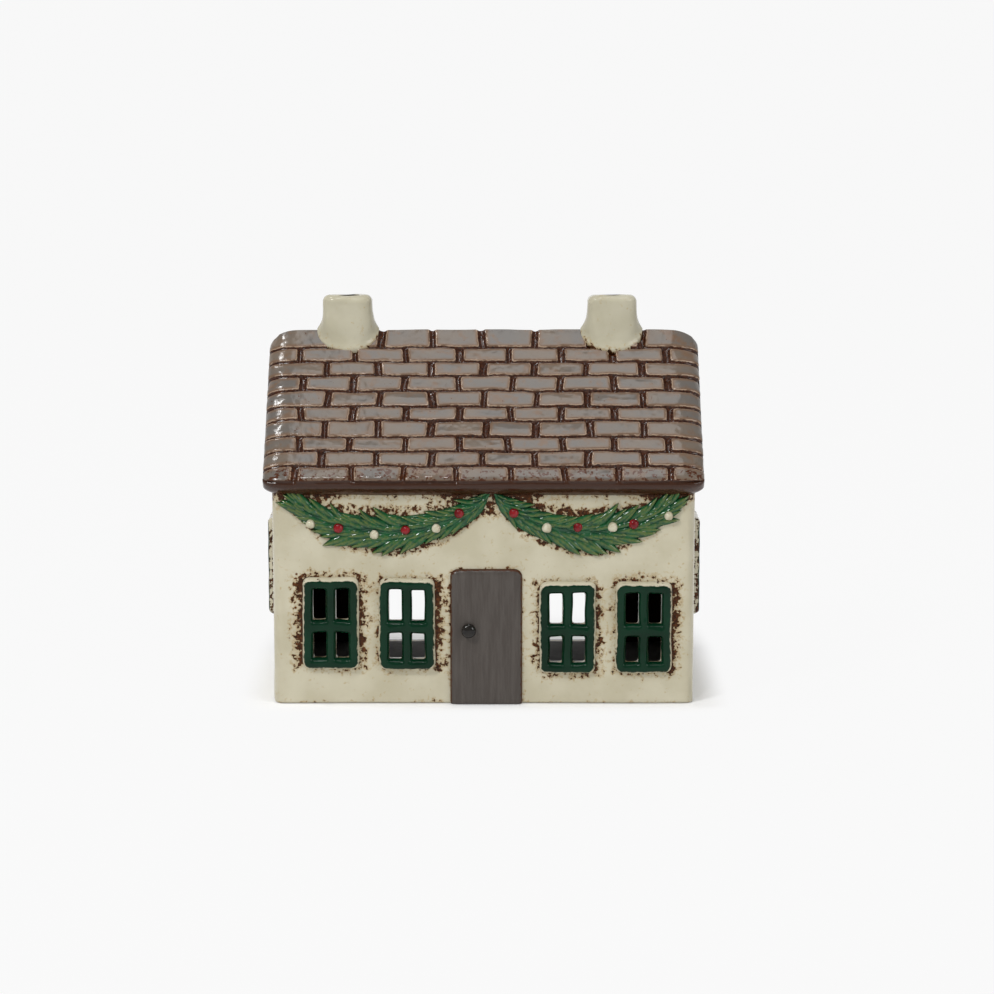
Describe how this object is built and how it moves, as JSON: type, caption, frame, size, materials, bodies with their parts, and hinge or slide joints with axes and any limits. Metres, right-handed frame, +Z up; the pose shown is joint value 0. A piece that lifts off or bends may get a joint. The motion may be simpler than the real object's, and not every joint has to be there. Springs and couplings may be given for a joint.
{
  "type": "tealight house",
  "caption": "Glazed stoneware cottage with a tiled roof, chimneys, pierced windows and a leaf garland, open at the back for a loose tealight.",
  "frame": {"origin": "on the ground, under the middle of the house", "axes": "+X to the right of someone facing the front door, +Y to the back, +Z up"},
  "size_m": [0.152, 0.0912, 0.1374],
  "materials": {
    "cream_glaze": "glossy cream glaze that breaks rust brown at edges",
    "roof_glaze": "glossy taupe glaze over dark red-brown joints",
    "green_glaze": "thick glossy deep green",
    "door_glaze": "brushed grey-brown glaze",
    "knob_glaze": "glossy black",
    "leaf_glaze": "glossy leaf green, lighter on the ridges",
    "red_glaze": "glossy red",
    "white_glaze": "thick cream white",
    "cup_aluminium": "thin drawn aluminium, satin",
    "wax": "white paraffin wax",
    "wick_cotton": "braided cotton",
    "sustainer_steel": "stamped tinned steel"
  },
  "bodies": {
    "house": {"floor_slab": "cream_glaze", "front_wall": "cream_glaze", "back_wall": "cream_glaze", "left_gable_wall": "cream_glaze", "right_gable_wall": "cream_glaze", "front_roof_slope": "roof_glaze", "rear_roof_slope": "roof_glaze", "left_chimney": "cream_glaze", "right_chimney": "cream_glaze", "window_frame_1": "green_glaze", "window_frame_2": "green_glaze", "window_frame_3": "green_glaze", "window_frame_4": "green_glaze", "left_gable_window": "green_glaze", "right_gable_window": "green_glaze", "front_door": "door_glaze", "door_knob": "knob_glaze", "left_garland": "leaf_glaze", "right_garland": "leaf_glaze", "red_berries": "red_glaze", "white_berries": "white_glaze"},
    "tealight": {"tealight_cup": "cup_aluminium", "tealight_wax": "wax", "tealight_wick": "wick_cotton", "wick_sustainer": "sustainer_steel"}
  },
  "joints": [
    {"name": "tealight_slide", "type": "slide", "parent": "house", "child": "tealight", "axis": [0, 1, 0], "range_m": [0, 0.065]}
  ]
}
